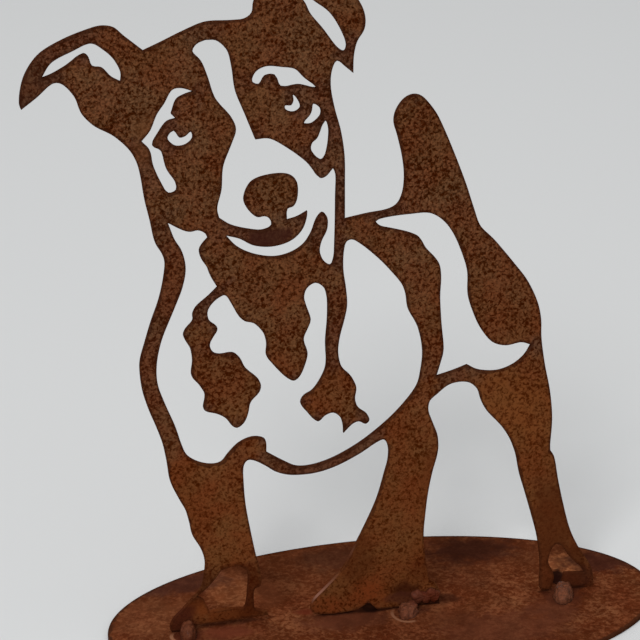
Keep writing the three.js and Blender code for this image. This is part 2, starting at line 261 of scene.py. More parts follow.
def finishShader(tree, shader, colour, height, look):
    # colour, and roughness and bump that follow the height of the rust; height 0..1 stands for the bump's
    # depth in millimetres
    bump = addNode(tree, "ShaderNodeBump", {
        "Height": height, "Distance": look["bumpDepth"] * mm, "Strength": look["bumpStrength"]})
    roughness = addRange(tree, height, *roughHeights, *look["roughness"])
    tree.links.new(colour, shader.inputs["Base Color"])
    tree.links.new(roughness, shader.inputs["Roughness"])
    tree.links.new(bump.outputs["Normal"], shader.inputs["Normal"])
    shader.inputs["Specular IOR Level"].default_value = look["specular"]


def addRust(tree, where, look):
    # speckled rust with the same tones all over the piece
    return useGroup(tree, rustMottle, {
        "Where": where, "Speck": look["speckSize"], "Level": look["level"], "Softness": look["softness"],
        "Patchiness": look["patchiness"], "Grain": look["grain"], "Drift": look["drift"],
        "Dark": look["dark"], "Light": look["light"], "Stain": look["stain"]})


def addRim(tree, where, look):
    # dark band along the cut of a sheet
    return useGroup(tree, cutRim, {
        "Where": where, "Distance": addAttribute(tree, "rimDistance"), "Width": look["rimWidth"]})["Rim"]


def onFace(spot, face):
    # a spot of a flat face gives two places and two squeezes; across the face it lies at the face's level
    axis, level = face
    return {**spot, "centre": np.insert(spot["centre"], axis, level).tolist(),
            "squeeze": np.insert(spot["squeeze"], axis, 1.0).tolist()}


def spotMasks(tree, where, spot):
    # the soft spot and the ring of one place
    given = {key.title(): spot[key] for key in ("centre", "squeeze", "inner", "outer") if key in spot}
    return useGroup(tree, stainSpot, {"Where": where, **given})


def addSpots(tree, where, colour, spots, bloom=None):
    # paints soft spots over a colour: over all of the rust, over its light bloom alone, or both in turn
    for spot in spots:
        mask = spotMasks(tree, where, spot)["Spot"]
        if "colour" in spot:
            share = addMath(tree, "MULTIPLY", mask, spot["share"])
            colour = addMix(tree, share, colour, spot["colour"])
        if "bloomColour" in spot:
            share = addMath(tree, "MULTIPLY", mask, spot["bloomShare"])
            colour = addMix(tree, addMath(tree, "MULTIPLY", share, bloom), colour, spot["bloomColour"])
    return colour


scorchColour = srgb(56, 26, 19)
# painted shade: the dark of the gaps under the soles, of the clefts of the paws and of the shadow beside
# the heel
contactShadeColour = srgb(46, 21, 13)

plateFinish = {
    # tones of the legs and of the head, from the lower to the upper height
    "lowDark": srgb(68, 25, 2), "highDark": srgb(56, 20, 2), "toneHeights": (30.0, 210.0),
    "lowLight": srgb(114, 66, 35), "highLight": srgb(105, 67, 43),
    "lowStain": srgb(112, 60, 30), "highStain": srgb(104, 63, 38),
    # narrow parts, which the heat of the cut has dulled
    "narrowDark": srgb(51, 24, 12), "narrowLight": srgb(92, 62, 48),
    "narrowShare": (0.15, 0.75), "narrowLevel": 0.03,
    "speckSize": 0.7, "patchiness": 0.18, "drift": 1.0,
    "softness": (0.17, 0.13), "softHeights": (40.0, 130.0),
    "grain": (0.12, 0.3), "grainHeights": (60.0, 220.0),
    "level": (0.433, 0.48), "levelHeights": (30.0, 130.0),
    "rimColour": srgb(52, 25, 14), "rimWidth": 1.3, "rimShare": (0.35, 0.7),
    "edgeHeights": (20.0, 70.0),        # rims and narrow parts are plainer below
    # painted highlight along one shin edge
    "highlightColour": srgb(136, 92, 76),
    # painted shade along the bottom of the sheet, where it meets the base
    "soleShadeHeights": (2.4, 3.8), "soleShadeShare": 0.7,
    "bumpDepth": 0.2, "bumpStrength": 0.5, "roughness": (0.65, 0.9), "specular": 0.0,
    # centres [x, z] and radii are millimetres; the squeeze is a factor on the distance along these axes;
    # the lift is added to the level, so that a spot has more dark specks
    "darkSpots": [
        {"centre": (16.0, 216.0), "squeeze": (0.8, 0.5), "inner": 6.0, "outer": 18.0, "lift": 0.022},
        {"centre": (-72.0, 118.0), "squeeze": (0.8, 0.5), "inner": 8.0, "outer": 22.0, "lift": 0.02},
        {"centre": (-22.0, 124.0), "squeeze": (1.0, 0.7), "inner": 4.0, "outer": 13.0, "lift": 0.03},
        {"centre": (-64.0, 261.0), "squeeze": (1.0, 0.5), "inner": 4.0, "outer": 12.0, "lift": 0.03},
    ],
    "spots": [
        # orange bloom on the paws
        {"centre": (-8.0, 12.0), "squeeze": (0.8, 0.9), "inner": 2.0, "outer": 11.0,
         "bloomColour": srgb(128, 56, 24), "bloomShare": 0.7},
        {"centre": (-28.0, 7.0), "squeeze": (0.6, 1.0), "inner": 2.0, "outer": 8.0,
         "bloomColour": srgb(124, 57, 26), "bloomShare": 0.7},
        {"centre": (-72.0, 6.5), "squeeze": (0.4, 1.0), "inner": 2.0, "outer": 9.0,
         "bloomColour": srgb(116, 61, 28), "bloomShare": 0.6},
        # the left paw's light toe, and dark bands round its sock
        {"centre": (-82.0, 13.0), "squeeze": (0.8, 1.0), "inner": 3.0, "outer": 8.0,
         "colour": srgb(124, 62, 29), "share": 0.65},
        {"centre": (-62.0, 18.0), "squeeze": (1.0, 0.5), "inner": 4.0, "outer": 9.0,
         "colour": srgb(64, 23, 7), "share": 0.65},
        {"centre": (-80.0, 23.0), "squeeze": (1.0, 0.8), "inner": 3.0, "outer": 8.0,
         "colour": srgb(66, 27, 9), "share": 0.55},
        {"centre": (-87.0, 17.0), "squeeze": (1.0, 1.0), "inner": 2.5, "outer": 6.0,
         "colour": srgb(66, 27, 12), "share": 0.5},
        {"centre": (-69.0, 31.0), "squeeze": (0.45, 1.2), "inner": 2.0, "outer": 5.0,
         "colour": srgb(68, 28, 11), "share": 0.5},
        {"centre": (-66.0, 8.0), "squeeze": (0.3, 1.0), "inner": 2.0, "outer": 6.0,
         "colour": srgb(76, 31, 10), "share": 0.3},
        # the middle paw's heel, and the smear above its weld
        {"centre": (17.0, 20.0), "squeeze": (1.0, 1.0), "inner": 4.0, "outer": 9.0,
         "colour": srgb(68, 26, 9), "share": 0.35},
        {"centre": (8.5, 11.5), "squeeze": (0.6, 1.1), "inner": 2.0, "outer": 6.0,
         "colour": srgb(56, 22, 10), "share": 0.8},
        {"centre": (7.5, 7.2), "squeeze": (0.6, 1.4), "inner": 3.0, "outer": 5.5,
         "colour": srgb(82, 42, 29), "share": 0.65},
        # duller places near the other welds, and a scorched heel
        {"centre": (-92.0, 7.0), "squeeze": (0.85, 0.8), "inner": 3.5, "outer": 8.0,
         "colour": srgb(74, 33, 21), "share": 0.85},
        {"centre": (88.0, 7.0), "squeeze": (0.7, 1.0), "inner": 5.0, "outer": 9.0,
         "colour": srgb(68, 33, 21), "share": 0.75},
        {"centre": (79.0, 12.0), "squeeze": (0.8, 0.5), "inner": 5.0, "outer": 11.0,
         "colour": srgb(90, 41, 21), "share": 0.45},
        {"centre": (88.0, 17.5), "squeeze": (1.0, 0.8), "inner": 3.5, "outer": 8.0,
         "colour": srgb(66, 29, 13), "share": 0.5},
        {"centre": (20.0, 5.0), "squeeze": (0.8, 1.0), "inner": 3.0, "outer": 7.0,
         "colour": scorchColour, "share": 0.7},
        # legs and thigh
        {"centre": (78.0, 36.0), "squeeze": (0.7, 0.28), "inner": 4.0, "outer": 12.0,
         "colour": srgb(80, 39, 18), "share": 0.7},
        {"centre": (54.0, 96.0), "squeeze": (0.6, 0.7), "inner": 5.0, "outer": 19.0,
         "colour": srgb(104, 57, 25), "share": 0.2, "bloomColour": srgb(126, 72, 34), "bloomShare": 0.5},
        {"centre": (-13.0, 30.0), "squeeze": (0.8, 0.5), "inner": 3.0, "outer": 10.0,
         "colour": srgb(72, 32, 12), "share": 0.5},
        {"centre": (21.0, 62.0), "squeeze": (1.1, 0.22), "inner": 2.0, "outer": 8.0,
         "colour": srgb(100, 50, 24), "share": 0.5},
        # head and ear
        {"centre": (-102.0, 231.5), "squeeze": (1.0, 0.6), "inner": 3.0, "outer": 9.0,
         "colour": srgb(108, 68, 40), "share": 0.35},
        {"centre": (-147.0, 254.0), "squeeze": (1.0, 0.8), "inner": 5.0, "outer": 16.0,
         "colour": srgb(56, 27, 16), "share": 0.4},
        {"centre": (-52.0, 184.5), "squeeze": (0.45, 1.0), "inner": 3.0, "outer": 6.5,
         "colour": srgb(60, 30, 22), "share": 0.85},
    ],
}


def plateMaterial(look):
    # the legs have rusted more orange than the head, and with fewer and softer dark specks
    material, tree, shader, where = startMaterial("rustedPlate")
    height = addNode(tree, "ShaderNodeSeparateXYZ", {0: where}).outputs["Z"]
    climb = addRange(tree, height, *look["toneHeights"])
    dark = addMix(tree, climb, look["lowDark"], look["highDark"])
    light = addMix(tree, climb, look["lowLight"], look["highLight"])
    stain = addMix(tree, climb, look["lowStain"], look["highStain"])
    narrowShare = addRange(tree, height, *look["edgeHeights"], *look["narrowShare"])
    narrow = addMath(tree, "MULTIPLY", addAttribute(tree, "narrowness"), narrowShare)
    level = addRange(tree, height, *look["levelHeights"], *look["level"])
    for spot in look["darkSpots"]:
        mask = spotMasks(tree, where, onFace(spot, sheetFace))["Spot"]
        level = addMath(tree, "ADD", level, addMath(tree, "MULTIPLY", mask, spot["lift"]))
    mottle = useGroup(tree, rustMottle, {
        "Where": where, "Speck": look["speckSize"], "Patchiness": look["patchiness"],
        "Drift": look["drift"],
        "Softness": addRange(tree, height, *look["softHeights"], *look["softness"]),
        "Grain": addRange(tree, height, *look["grainHeights"], *look["grain"]),
        "Level": addMath(tree, "ADD", level, addMath(tree, "MULTIPLY", narrow, look["narrowLevel"])),
        "Dark": addMix(tree, narrow, dark, look["narrowDark"]),
        "Light": addMix(tree, narrow, light, look["narrowLight"]),
        "Stain": addMix(tree, narrow, stain, look["narrowLight"])})
    spots = [onFace(spot, sheetFace) for spot in look["spots"]]
    colour = addSpots(tree, where, mottle["Color"], spots, mottle["Bloom"])
    rimShare = addRange(tree, height, *look["edgeHeights"], *look["rimShare"])
    rim = addMath(tree, "MULTIPLY", addRim(tree, where, look), rimShare)
    colour = addMix(tree, rim, colour, look["rimColour"])
    # painted shade along the soles
    soleShade = addRange(tree, height, *look["soleShadeHeights"], look["soleShadeShare"], 0.0)
    colour = addMix(tree, soleShade, colour, contactShadeColour)
    # painted highlight on the lit cut edge of one shin
    colour = addMix(tree, addAttribute(tree, "edgeHighlight"), colour, look["highlightColour"])
    finishShader(tree, shader, colour, mottle["Height"], look)
    return material


plateShape = {
    "spacing": 0.85,        # between points along a contour
    "fillSpacing": 1.35,    # between points inside
    "fillClear": 0.62,      # share of the fill spacing that stays free along the contours
    "jitter": 0.28,         # share of the fill spacing that a point may stray
    "seed": 5,
    "sharpTurn": math.radians(32),
    "arris": 0.28,          # radius that rounds the sheet's edges
    "arrisSteps": 3,
    "wallSteps": 2,
    "tipShare": 0.6,        # of the room inside a tip, what the rounding may take
    "narrow": (1.8, 5.0),   # half widths up to which the sheet counts as narrow, fully and at all
    # painted highlight on the lit cut edge of one shin, along a line: full up to the first distance, at
    # all up to the second
    "highlightFrom": (-34.8, 9.0), "highlightTo": (-16.6, 38.5), "highlightReach": (1.5, 4.5),
    "highlightEnds": 0.125,     # share of the line over which it fades at each end
    "highlightInset": 0.6,      # share of the rounding's radius up to which a point counts as edge
}
perMm = 1000                # points of the frame are joined where they share a micron
chunks = 40                 # parts of a long test, so that its arrays stay small


def frontContours(nodeName):
    # the rim of a node's front face, as closed loops of [x, z] in millimetres, the sheet on their left
    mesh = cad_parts[nodeName].data
    mesh.calc_loop_triangles()
    corners = np.empty(len(mesh.vertices) * 3)
    mesh.vertices.foreach_get("co", corners)
    triangles = np.empty(len(mesh.loop_triangles) * 3, int)
    mesh.loop_triangles.foreach_get("vertices", triangles)
    microns = np.rint(corners.reshape(-1, 3) / mm * perMm).astype(int)
    points, joined = np.unique(microns, axis=0, return_inverse=True)
    triangles = joined.reshape(-1)[triangles].reshape(-1, 3)
    isFront = (points[triangles, 1] == points[:, 1].min()).all(1)
    start = triangles[isFront].reshape(-1)
    end = np.roll(triangles[isFront], -1, 1).reshape(-1)
    # an edge of the front face that no neighbour runs the other way lies on the rim
    onRim = ~np.isin(start * len(points) + end, end * len(points) + start)
    used = np.unique(start[onRim])
    follow = np.empty(len(used), int)
    follow[np.searchsorted(used, start[onRim])] = np.searchsorted(used, end[onRim])
    # jumping twice as far at each pass, the lowest number met names the loop, and the steps that are left
    # to the loop's last point give the order
    passes = range(math.ceil(math.log2(len(used))) + 1)
    loop, hop = np.arange(len(used)), follow.copy()
    for _ in passes:
        loop, hop = np.minimum(loop, loop[hop]), hop[hop]
    isLast = follow == loop
    left, hop = np.where(isLast, 0, 1), np.where(isLast, np.arange(len(used)), follow)
    for _ in passes:
        left, hop = left + left[hop], hop[hop]
    order = np.lexsort((-left, loop))
    cuts = np.flatnonzero(np.diff(loop[order])) + 1
    flat = points[used][:, [0, 2]] / perMm
    return [flat[part] for part in np.split(order, cuts)]


def smoothLoop(corners, spacing, sharpTurn):
    # cubic from corner to corner: it passes a corner along the mean of both headings, each weighted by the
    # other side's length, and leaves a sharp corner straight
    ahead = np.roll(corners, -1, 0) - corners
    length = np.linalg.norm(ahead, axis=1)[:, None]
    heading = ahead / length
    lastHeading, lastLength = np.roll(heading, 1, 0), np.roll(length, 1, 0)
    isSharp = (heading * lastHeading).sum(1, keepdims=True) < math.cos(sharpTurn)
    through = (lastHeading * length + heading * lastLength) / (length + lastLength)
    leave = np.where(isSharp, heading, through) * length
    arrive = np.roll(np.where(isSharp, lastHeading, through), -1, 0) * length
    steps = np.maximum(1, np.rint(length[:, 0] / spacing)).astype(int)
    part = np.repeat(np.arange(len(corners)), steps)
    t = ((np.arange(steps.sum()) - np.repeat(np.cumsum(steps) - steps, steps)) / steps[part])[:, None]
    return ((2 * t**3 - 3 * t**2 + 1) * corners[part] + (t**3 - 2 * t**2 + t) * leave[part]
            + (3 * t**2 - 2 * t**3) * np.roll(corners, -1, 0)[part] + (t**3 - t**2) * arrive[part])


def inwardNormals(loop):
    # unit normals to the left of the way from the point before to the point after
    way = np.roll(loop, -1, 0) - np.roll(loop, 1, 0)
    left = np.stack([-way[:, 1], way[:, 0]], 1)
    return left / np.linalg.norm(left, axis=1)[:, None]


def roomInside(points, normals):
    # radius of the largest circle that touches a contour from inside at each point: over all other points
    # ahead of the normal, the least of squared distance over twice the distance along the normal
    across = points[None] - points[:, None]
    along = (across * normals[:, None]).sum(2)
    square = (across ** 2).sum(2)
    return np.where(along > tiny, square / np.maximum(2 * along, tiny), np.inf).min(1)


def nearest(points, targets):
    # distance from each point to the closest target, and that target's number
    square = (points ** 2).sum(1)[:, None] + (targets ** 2).sum(1)[None] - 2 * points @ targets.T
    closest = square.argmin(1)
    return np.linalg.norm(points - targets[closest], axis=1), closest


def isInside(points, outline, following):
    # a point is inside where an odd number of contour pieces crosses the level line to its left
    across, level = points[:, 0][:, None], points[:, 1][:, None]
    crosses = (outline[:, 1] <= level) != (following[:, 1] <= level)
    rise = following[:, 1] - outline[:, 1]
    share = (level - outline[:, 1]) / np.where(rise == 0, 1, rise)
    isLeft = outline[:, 0] + share * (following[:, 0] - outline[:, 0]) < across
    return (crosses & isLeft).sum(1) % 2 == 1


def fillPoints(outline, following, shape):
    # staggered rows of points: a row's point is inside where an odd number of contour crossings lies left
    # of it; each strays a little, and those too near the contours are dropped
    spacing, jitter = shape["fillSpacing"], shape["jitter"]
    draw = np.random.default_rng(shape["seed"])
    low, high = outline.min(0), outline.max(0)
    rows = np.arange(low[1], high[1], spacing * math.sqrt(3) / 2)       # rows of even triangles
    kept = []
    for number, level in enumerate(rows):
        crosses = (outline[:, 1] <= level) != (following[:, 1] <= level)
        first, second = outline[crosses], following[crosses]
        share = (level - first[:, 1]) / (second[:, 1] - first[:, 1])
        cuts = np.sort(first[:, 0] + share * (second[:, 0] - first[:, 0]))
        across = np.arange(low[0] + spacing * 0.5 * (number % 2), high[0], spacing)
        across = across[np.searchsorted(cuts, across) % 2 == 1]
        kept.append(np.stack([across, np.full(len(across), level)], 1))
    points = np.concatenate(kept)
    points = points + draw.uniform(-jitter, jitter, points.shape) * spacing
    return points[nearest(points, outline)[0] > spacing * shape["fillClear"]]


def roundedSection(thickness, radius, arcSteps, wallSteps):
    # section through a sheet's edge, front to back: a quarter round, the straight wall, a quarter round;
    # rows of [inset, depth]
    turn = np.linspace(0, math.pi / 2, arcSteps + 1)
    arc = radius * np.stack([1 - np.sin(turn), 1 - np.cos(turn)], 1)
    wall = np.linspace(radius, thickness - radius, wallSteps + 1)[1:-1]
    wall = np.stack([np.zeros(len(wall)), wall], 1)
    return np.concatenate([arc, wall, arc[::-1] * [1, -1] + [0, thickness]])


def gridQuads(rowCount, after):
    # faces between neighbouring rows of points; after holds the number of each point's follower in its row
    count = len(after)
    here = np.arange(count)
    row = np.arange(rowCount - 1)[:, None] * count
    return np.stack([row + here, row + count + here, row + count + after, row + after], 2).reshape(-1, 4)


def closedRows(rowCount, count):
    # faces of a closed shell: between its rings, and fans to the two poles that are numbered after them
    here = np.arange(count)
    after = (here + 1) % count
    last = rowCount * count
    topFan = np.stack([np.full(count, last), here, after], 1)
    underFan = np.stack([np.full(count, last + 1), last - count + after, last - count + here], 1)
    return gridQuads(rowCount, after), np.concatenate([topFan, underFan])


def fillTriangles(ring, after, fill):
    # Delaunay triangles over the points of the contours and the fill, with the contours kept as edges
    points = np.concatenate([ring, fill])
    edges = np.stack([np.arange(len(ring)), after], 1)
    insideOnly = 1
    made = delaunay_2d_cdt(points.tolist(), edges.tolist(), [], insideOnly, tiny)
    triangles = np.array(made[2])
    # the fill is all sheet, so only a triangle between contour points can lie in a cut-out
    onRim = np.flatnonzero((triangles < len(ring)).all(1))
    middles = np.array_split(points[triangles[onRim]].mean(1), chunks)
    isSheet = np.concatenate([isInside(part, ring, ring[after]) for part in middles])
    triangles = np.delete(triangles, onRim[~isSheet], axis=0)
    print("plate fill:", len(points), "points in,", len(made[0]), "out,", len(triangles), "triangles")
    return triangles


def edgeHighlightShare(outline, shape):
    # share of painted highlight on each contour point: it falls with the distance from a line between two
    # points, and towards the ends of that line
    start, end = np.array(shape["highlightFrom"]), np.array(shape["highlightTo"])
    full, none = shape["highlightReach"]
    way = end - start
    share = np.clip(((outline - start) @ way) / (way @ way), 0, 1)
    away = np.linalg.norm(outline - start - share[:, None] * way, axis=1)
    ends = np.clip(np.minimum(share, 1 - share) / shape["highlightEnds"], 0, 1)
    return np.clip((none - away) / (none - full), 0, 1) * ends


def dogPlate(shape):
    # the edge section is carried along every contour, and front and back are filled with triangles
    nodeName = "dog_plate"
    contours = frontContours(nodeName)
    loops = [smoothLoop(corners, shape["spacing"], shape["sharpTurn"]) for corners in contours]
    outline = np.concatenate(loops)
    normals = np.concatenate([inwardNormals(loop) for loop in loops])
    sizes = np.array([len(loop) for loop in loops])
    ends = np.cumsum(sizes) - 1
    after = np.arange(len(outline)) + 1
    after[ends] = ends - sizes + 1
    thickness = -2 * sheetFront     # the sheet stands on both sides of y = 0
    section = roundedSection(thickness, shape["arris"], shape["arrisSteps"], shape["wallSteps"])
    # the rounding shrinks where a tip has no room for it
    room = roomInside(outline, normals)
    fit = np.minimum(1, shape["tipShare"] * room / shape["arris"])
    inset = section[:, :1] * fit
    toFace = np.minimum(section[:, 1:], thickness - section[:, 1:])
    toFace = np.where(toFace < shape["arris"] + tiny, toFace * fit, toFace)
    depth = np.sign(section[:, 1:] - thickness / 2) * (thickness / 2 - toFace)
    flat = outline + inset[..., None] * normals
    rings = np.stack([flat[..., 0], depth, flat[..., 1]], 2)
    fill = fillPoints(outline, outline[after], shape)
    triangles = fillTriangles(flat[0], after, fill)
    frontFill = np.stack([fill[:, 0], np.full(len(fill), sheetFront), fill[:, 1]], 1)
    points = np.concatenate([rings.reshape(-1, 3), frontFill, frontFill * [1, -1, 1]])
    # the triangles of the front join the first ring and the front's fill, those of the back the last ring
    # and the back's fill
    count, rowCount = len(outline), len(section)
    here, inner = np.arange(count), np.arange(len(fill))
    front = np.concatenate([here, rowCount * count + inner])[triangles]
    back = np.concatenate([(rowCount - 1) * count + here, rowCount * count + len(fill) + inner])[triangles]
    faces = [*gridQuads(rowCount, after).tolist(), *front.tolist(), *back[:, ::-1].tolist()]
    # distance from the cut, how narrow the sheet is at the nearest cut, and the painted highlight on one
    # edge
    fillDistance, closest = nearest(fill, outline)
    full, none = shape["narrow"]
    narrow = np.clip((none - room) / (none - full), 0, 1)
    onEdge = section[:, :1] < shape["arris"] * shape["highlightInset"]
    highlight = onEdge * edgeHighlightShare(outline, shape)
    piece = makePiece("dogPlate", points, faces, {
        "rimDistance": np.concatenate([inset.reshape(-1), fillDistance, fillDistance]),
        "narrowness": np.concatenate([np.tile(narrow, rowCount), narrow[closest], narrow[closest]]),
        "edgeHighlight": np.concatenate([highlight.reshape(-1), np.zeros(2 * len(fill))])})
    fitPiece(piece, plateMaterial(plateFinish), nodeName)
    return piece


plate = dogPlate(plateShape)
print("dog plate:", len(plate.data.polygons), "faces")

rubbedColour = srgb(92, 49, 32)

baseFinish = {
    "dark": srgb(84, 39, 19), "light": srgb(118, 69, 43), "stain": srgb(111, 60, 36),
    "speckSize": 1.1, "level": 0.54, "softness": 0.15, "patchiness": 0.5, "grain": 0.14, "drift": 0.7,
    # painted shade behind the sheet: from these depths on, the rear turns smoother and darker
    "rearShadeColour": srgb(82, 42, 23), "rearShadeFrom": (14.0, 34.0), "rearShadeShare": 0.45,
    "borderSize": 12.0, "borderReach": 12.0,        # how the border of the rear wanders
    "cloudSize": 3.5, "cloudRange": (0.3, 0.7), "cloudShade": (0.85, 1.17),
    "rimColour": srgb(58, 32, 20), "rimWidth": 1.8, "rimShare": 0.8,
    "bumpDepth": 0.15, "bumpStrength": 0.4, "roughness": (0.55, 0.85), "specular": 0.0,
    # centres [x, y], and the rest as on the sheet
    "spots": [
        # rubbed patches
        {"centre": (-20.0, -6.0), "squeeze": (0.55, 1.2), "inner": 5.0, "outer": 15.0,
         "colour": rubbedColour, "share": 0.85},
        {"centre": (48.0, -28.0), "squeeze": (0.45, 0.9), "inner": 7.0, "outer": 18.0,
         "colour": rubbedColour, "share": 0.65},
        {"centre": (74.0, -17.0), "squeeze": (0.8, 0.8), "inner": 4.0, "outer": 12.0,
         "colour": rubbedColour, "share": 0.7},
        {"centre": (-72.0, -6.0), "squeeze": (0.6, 1.0), "inner": 3.0, "outer": 9.0,
         "colour": srgb(106, 52, 34), "share": 0.8},
        {"centre": (28.0, -16.0), "squeeze": (0.6, 1.0), "inner": 4.0, "outer": 13.0,
         "colour": srgb(78, 39, 23), "share": 0.5},
        {"centre": (-36.0, 4.5), "squeeze": (0.7, 1.0), "inner": 1.5, "outer": 4.0,
         "colour": srgb(96, 40, 24), "share": 0.8},
        # paler rust beside the left heel, and painted light on the base where it shows through the left
        # and the hind sock
        {"centre": (-50.0, 24.0), "squeeze": (1.0, 0.7), "inner": 4.0, "outer": 11.0,
         "colour": srgb(112, 60, 36), "share": 0.6},
        {"centre": (-65.0, 30.0), "squeeze": (1.0, 0.6), "inner": 6.0, "outer": 13.0,
         "colour": srgb(120, 66, 38), "share": 0.8, "bloomColour": srgb(146, 89, 56), "bloomShare": 0.8},
        {"centre": (91.0, 22.0), "squeeze": (0.9, 0.8), "inner": 5.0, "outer": 11.0,
         "colour": srgb(133, 76, 46), "share": 0.8, "bloomColour": srgb(170, 106, 66), "bloomShare": 0.9},
        {"centre": (-104.0, 13.0), "squeeze": (0.6, 0.6), "inner": 6.0, "outer": 15.0,
         "colour": srgb(122, 74, 48), "share": 0.25},
        # dark blotches at the rear; the first is the painted shadow of the middle leg
        {"centre": (52.0, 45.0), "squeeze": (0.6, 1.0), "inner": 5.0, "outer": 20.0,
         "colour": srgb(48, 24, 18), "share": 0.75},
        {"centre": (112.0, 22.0), "squeeze": (0.5, 1.0), "inner": 6.0, "outer": 15.0,
         "colour": srgb(62, 32, 24), "share": 0.8},
        {"centre": (-12.0, 50.0), "squeeze": (0.6, 1.0), "inner": 5.0, "outer": 16.0,
         "colour": srgb(62, 34, 23), "share": 0.6},
        {"centre": (44.0, 18.0), "squeeze": (0.8, 1.0), "inner": 4.0, "outer": 12.0,
         "colour": srgb(72, 36, 21), "share": 0.4},
        {"centre": (-92.0, 42.0), "squeeze": (0.35, 1.0), "inner": 5.0, "outer": 14.0,
         "colour": srgb(64, 37, 31), "share": 0.6},
        # painted shade under the soles and in the clefts of the paws, and a painted shadow beside the heel
        {"centre": (-72.0, 2.2), "squeeze": (0.12, 1.0), "inner": 1.2, "outer": 3.0,
         "colour": contactShadeColour, "share": 0.65},
        {"centre": (-6.0, 0.0), "squeeze": (0.09, 1.0), "inner": 1.0, "outer": 3.0,
         "colour": contactShadeColour, "share": 0.85},
        {"centre": (86.0, 0.0), "squeeze": (0.2, 1.0), "inner": 1.0, "outer": 3.0,
         "colour": contactShadeColour, "share": 0.85},
        {"centre": (-6.5, 2.5), "squeeze": (0.5, 0.8), "inner": 2.0, "outer": 4.0,
         "colour": srgb(26, 12, 8), "share": 0.9},
        {"centre": (84.5, 9.0), "squeeze": (1.0, 0.5), "inner": 3.0, "outer": 5.0,
         "colour": srgb(32, 14, 11), "share": 0.95},
        {"centre": (29.0, 3.0), "squeeze": (0.7, 1.0), "inner": 2.0, "outer": 6.0,
         "colour": srgb(52, 24, 14), "share": 0.75},
        # scorches round the welds
        {"centre": (-91.4, -4.6), "squeeze": (1.0, 1.0), "inner": 4.0, "outer": 8.0,
         "colour": srgb(72, 33, 21), "share": 0.8},
        {"centre": (11.0, -3.8), "squeeze": (0.8, 1.0), "inner": 4.0, "outer": 8.0,
         "colour": scorchColour, "share": 0.6},
        {"centre": (82.0, -6.0), "squeeze": (0.9, 0.8), "inner": 5.0, "outer": 10.0,
         "colour": srgb(76, 37, 24), "share": 0.7},
    ],
    # bright arcs round two of the welds: a ring, and the side of it that shows
    "arcColour": srgb(140, 94, 68),
    "arcs": [
        {"ring": {"centre": (8.5, -6.4), "squeeze": (0.92, 0.8), "outer": 6.0},
         "side": {"centre": (4.4, -9.8), "squeeze": (1.0, 1.0), "inner": 5.5, "outer": 10.0}},
        {"ring": {"centre": (-91.0, -5.0), "squeeze": (0.8, 0.9), "outer": 5.4},
         "side": {"centre": (-97.0, -6.0), "squeeze": (1.0, 1.0), "inner": 2.0, "outer": 7.0}},
    ],
}


def baseMaterial(look):
    # the rear is smoother, and darker with painted shade from the sheet, with a wandering border, and
    # clouds shade the whole plate
    material, tree, shader, where = startMaterial("rustedBase")
    mottle = addRust(tree, where, look)
    depth = addNode(tree, "ShaderNodeSeparateXYZ", {0: where}).outputs["Y"]
    wander = addMath(tree, "MULTIPLY", addNoise(tree, where, look["borderSize"]), 2 * look["borderReach"])
    wander = addMath(tree, "SUBTRACT", wander, look["borderReach"])
    rearShade = addRange(tree, addMath(tree, "ADD", depth, wander), *look["rearShadeFrom"])
    rearShade = addMath(tree, "MULTIPLY", rearShade, look["rearShadeShare"])
    colour = addMix(tree, rearShade, mottle["Color"], look["rearShadeColour"])
    spots = [onFace(spot, baseFace) for spot in look["spots"]]
    colour = addSpots(tree, where, colour, spots, mottle["Bloom"])
    clouds = addNoise(tree, where, look["cloudSize"], detail=3.0)
    colour = addScaled(tree, colour, addRange(tree, clouds, *look["cloudRange"], *look["cloudShade"]))
    for arc in look["arcs"]:
        ring = spotMasks(tree, where, onFace(arc["ring"], baseFace))["Ring"]
        side = spotMasks(tree, where, onFace(arc["side"], baseFace))["Spot"]
        colour = addMix(tree, addMath(tree, "MULTIPLY", ring, side), colour, look["arcColour"])
    rim = addMath(tree, "MULTIPLY", addRim(tree, where, look), look["rimShare"])
    colour = addMix(tree, rim, colour, look["rimColour"])
    finishShader(tree, shader, colour, mottle["Height"], look)
    return material


baseShape = {"steps": 192, "rings": 24, "arris": 0.4, "arrisSteps": 3, "wallSteps": 2}


def basePlate(shape):
    # rows of an oval, each inset along the oval's normal, from the middle of the top over the rounded rim
    # to the middle of the underside
    nodeName = "base_plate"
    low, high = (np.array(corner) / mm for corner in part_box(nodeName))
    half = (high - low)[:2] / 2
    turn = np.linspace(0, 2 * math.pi, shape["steps"], endpoint=False)
    ring = np.stack([np.cos(turn), np.sin(turn)], 1)
    outward = ring / half
    outward /= np.linalg.norm(outward, axis=1)[:, None]
    section = roundedSection(high[2] - low[2], shape["arris"], shape["arrisSteps"], shape["wallSteps"])
    rim = ring * half - section[:, :1, None] * outward
    shares = np.linspace(0, 1, shape["rings"] + 1)[1:-1, None, None]
    flat = np.concatenate([rim[0] * shares, rim, rim[-1] * shares[::-1]])
    topHeights, underHeights = np.full(len(shares), high[2]), np.full(len(shares), low[2])
    heights = np.concatenate([topHeights, high[2] - section[:, 1], underHeights])
    rows = np.concatenate([flat, np.broadcast_to(heights[:, None, None], (*flat.shape[:2], 1))], 2)
    points = np.concatenate([rows.reshape(-1, 3), [[0, 0, high[2]], [0, 0, low[2]]]])
    quads, fans = closedRows(len(rows), shape["steps"])
    # distance from the rim, by the share of the way to it
    reach = np.hypot(points[:, 0] / half[0], points[:, 1] / half[1])
    rimDistance = np.maximum(0, (1 - reach) * half.mean())
    piece = makePiece("basePlate", points, [*quads.tolist(), *fans.tolist()], {"rimDistance": rimDistance})
    fitPiece(piece, baseMaterial(baseFinish), nodeName)
    return piece


base = basePlate(baseShape)
print("base plate:", len(base.data.polygons), "faces")

